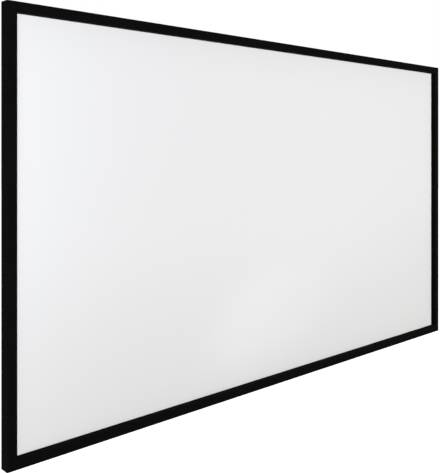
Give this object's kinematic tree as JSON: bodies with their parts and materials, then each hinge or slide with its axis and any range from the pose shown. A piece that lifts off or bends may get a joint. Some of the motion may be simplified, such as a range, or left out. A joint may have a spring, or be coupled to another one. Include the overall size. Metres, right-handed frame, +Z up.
{
  "type": "fixed frame projector screen",
  "caption": "Wall-hung 16:9 projection screen: white sheet sprung tight behind a slim black frame, with rods, springs, upright bar and hook brackets.",
  "frame": {"origin": "middle of the whole screen, half way between the front face and the wall", "axes": "+X to the right as seen by a viewer, +Z up, +Y towards the wall; the picture faces -Y"},
  "size_m": [2.728, 0.048, 1.566],
  "materials": {
    "velvet_frame": "extruded aluminium with a black velvet flock finish",
    "white_sheet": "matte white film in front, black behind",
    "black_tape": "black hem tape welded to the sheet",
    "glass_fibre": "drawn glass fibre rod",
    "zinc_steel": "bright zinc plate",
    "black_screw": "black oxide",
    "black_metal": "satin black powder coat on aluminium",
    "black_plastic": "moulded, fine texture",
    "black_rubber": "matte foam rubber"
  },
  "bodies": {
    "root": {"frame_top_left": "velvet_frame", "frame_top_right": "velvet_frame", "frame_bottom_left": "velvet_frame", "frame_bottom_right": "velvet_frame", "frame_left": "velvet_frame", "frame_right": "velvet_frame", "screen_sheet": "white_sheet", "hem_top": "black_tape", "hem_bottom": "black_tape", "hem_left": "black_tape", "hem_right": "black_tape", "tension_rod_top_left": "glass_fibre", "tension_rod_top_right": "glass_fibre", "tension_rod_bottom_left": "glass_fibre", "tension_rod_bottom_right": "glass_fibre", "tension_rod_left": "glass_fibre", "tension_rod_right": "glass_fibre", "corner_joiner_top_left": "zinc_steel", "corner_joiner_top_right": "zinc_steel", "corner_joiner_bottom_left": "zinc_steel", "corner_joiner_bottom_right": "zinc_steel", "corner_screw_top_left_1": "black_screw", "corner_screw_top_left_2": "black_screw", "corner_screw_top_left_3": "black_screw", "corner_screw_top_left_4": "black_screw", "corner_screw_top_right_1": "black_screw", "corner_screw_top_right_2": "black_screw", "corner_screw_top_right_3": "black_screw", "corner_screw_top_right_4": "black_screw", "corner_screw_bottom_left_1": "black_screw", "corner_screw_bottom_left_2": "black_screw", "corner_screw_bottom_left_3": "black_screw", "corner_screw_bottom_left_4": "black_screw", "corner_screw_bottom_right_1": "black_screw", "corner_screw_bottom_right_2": "black_screw", "corner_screw_bottom_right_3": "black_screw", "corner_screw_bottom_right_4": "black_screw", "splice_plate_top": "zinc_steel", "splice_plate_bottom": "zinc_steel", "splice_screw_top_1": "black_screw", "splice_screw_top_2": "black_screw", "splice_screw_top_3": "black_screw", "splice_screw_top_4": "black_screw", "splice_screw_bottom_1": "black_screw", "splice_screw_bottom_2": "black_screw", "splice_screw_bottom_3": "black_screw", "splice_screw_bottom_4": "black_screw", "support_bar": "black_metal", "support_bar_cap_top": "black_plastic", "support_bar_cap_bottom": "black_plastic", "wall_bracket_left": "zinc_steel", "wall_bracket_right": "zinc_steel", "wall_pad_left": "black_rubber", "wall_pad_right": "black_rubber"}
  },
  "joints": []
}
